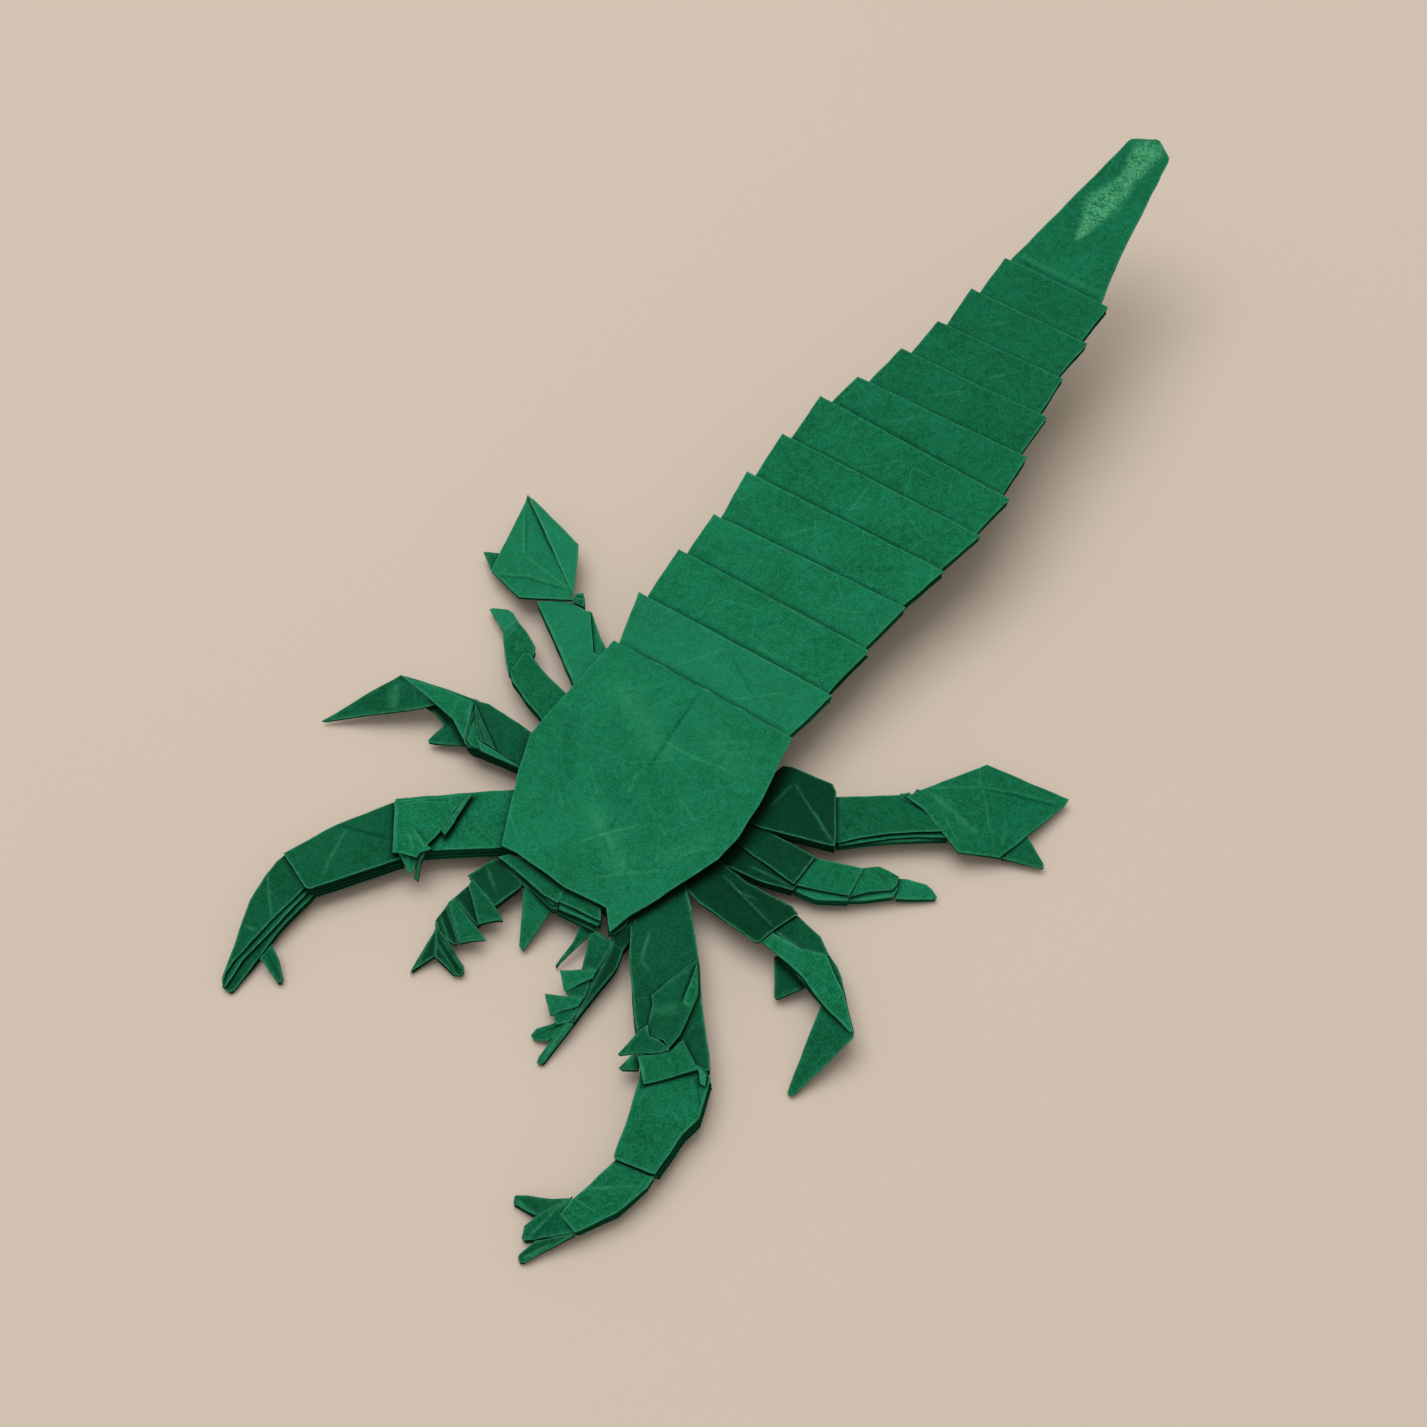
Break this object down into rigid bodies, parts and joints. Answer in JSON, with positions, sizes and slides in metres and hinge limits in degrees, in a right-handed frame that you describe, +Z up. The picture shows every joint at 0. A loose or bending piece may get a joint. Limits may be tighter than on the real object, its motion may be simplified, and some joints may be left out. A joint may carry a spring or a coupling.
{
  "type": "origami sea scorpion",
  "caption": "Long-tailed sea creature folded from one square of paper, with clawed front arms, legs, paddles and a raised plated tail; it rests on its flat belly.",
  "frame": {"origin": "middle of the flat belly under the carapace, on the surface it rests on", "axes": "+Y from head to tail along the body, +Z up, +X to the right seen from above with the tail pointing up"},
  "size_m": [0.1075, 0.2229, 0.027],
  "materials": {
    "paper": "matt, mottled emerald green fibre paper"
  },
  "bodies": {
    "root": {"folded_sheet": "paper"}
  },
  "joints": []
}
